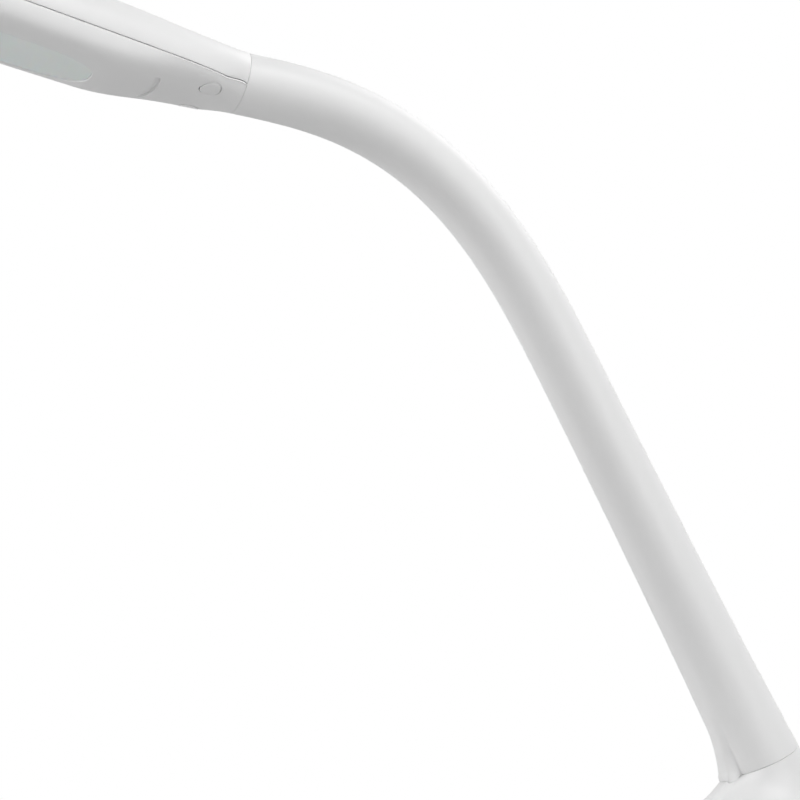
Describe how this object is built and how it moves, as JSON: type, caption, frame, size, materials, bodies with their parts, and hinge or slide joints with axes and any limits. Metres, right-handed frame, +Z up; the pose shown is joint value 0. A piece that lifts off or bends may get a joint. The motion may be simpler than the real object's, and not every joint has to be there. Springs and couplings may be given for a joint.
{
  "type": "folding desk lamp",
  "caption": "White swan-neck desk lamp: the arm folds forward on a weighted oval base, the flared head twists on its neck and carries push buttons on its underside.",
  "frame": {"origin": "centre of the oval base at table level", "axes": "+X to the front, where the head reaches; +Y to the left side; +Z up"},
  "size_m": [0.4602, 0.15, 0.3533],
  "materials": {
    "shell_white": "fine matte",
    "plate_dark": "matte",
    "ballast_steel": "rolled",
    "rubber": "matte",
    "screw_steel": "zinc plated",
    "zinc": "die-cast",
    "circuit_board": "solder mask",
    "component_black": "moulded",
    "lead_black": "soft PVC",
    "pin_steel": "ground",
    "diffuser_opal": "opal satin",
    "reflector_white": "matte",
    "led_yellow": "phosphor",
    "spreader_aluminium": "milled",
    "silicone": "matte"
  },
  "bodies": {
    "base": {"base_cover": "shell_white", "base_plate": "plate_dark", "ballast": "ballast_steel", "rubber_feet": "rubber", "base_screws": "screw_steel", "hinge_bracket": "zinc", "bracket_screws": "screw_steel", "driver_board": "circuit_board", "driver_parts": "component_black", "dc_socket": "component_black", "base_lead": "lead_black"},
    "arm": {"arm_shell": "shell_white", "arm_back_cover": "shell_white", "arm_fork": "zinc", "fork_screws": "screw_steel", "hinge_pin": "pin_steel", "hinge_washers": "pin_steel", "neck_socket": "zinc", "arm_lead": "lead_black", "hinge_lead": "lead_black"},
    "head": {"head_upper": "shell_white", "head_lower": "shell_white", "twist_spigot": "zinc", "spigot_clip": "pin_steel", "spigot_screws": "screw_steel", "diffuser": "diffuser_opal", "reflector": "reflector_white", "led_board": "circuit_board", "leds": "led_yellow", "heat_spreader": "spreader_aluminium", "head_screws": "screw_steel", "head_lead": "lead_black", "switch_board": "circuit_board", "tact_switches": "component_black", "dome_power": "silicone", "dome_dimmer": "silicone", "twist_lead": "lead_black"},
    "power_key": {"button_power": "shell_white"},
    "dimmer_key": {"button_dimmer": "shell_white"}
  },
  "joints": [
    {"name": "arm_fold", "type": "hinge", "parent": "base", "child": "arm", "pos_m": [-0.03536, 0, 0.05145], "axis": [0, 1, 0], "range_deg": [0, 40], "deforming": ["hinge_lead"]},
    {"name": "head_twist", "type": "hinge", "parent": "arm", "child": "head", "pos_m": [0.18278, 0, 0.31955], "axis": [0.9781, 0, 0.2079], "range_deg": [-90, 90], "deforming": ["twist_lead"]},
    {"name": "power_press", "type": "slide", "parent": "head", "child": "power_key", "axis": [-0.2079, 0, 0.9781], "range_m": [0, 0.0008], "stiffness_N_per_m": 900, "springref_m": -0.0006, "deforming": ["dome_power"]},
    {"name": "dimmer_press", "type": "slide", "parent": "head", "child": "dimmer_key", "axis": [-0.2079, 0, 0.9781], "range_m": [0, 0.0008], "stiffness_N_per_m": 900, "springref_m": -0.0006, "deforming": ["dome_dimmer"]}
  ]
}
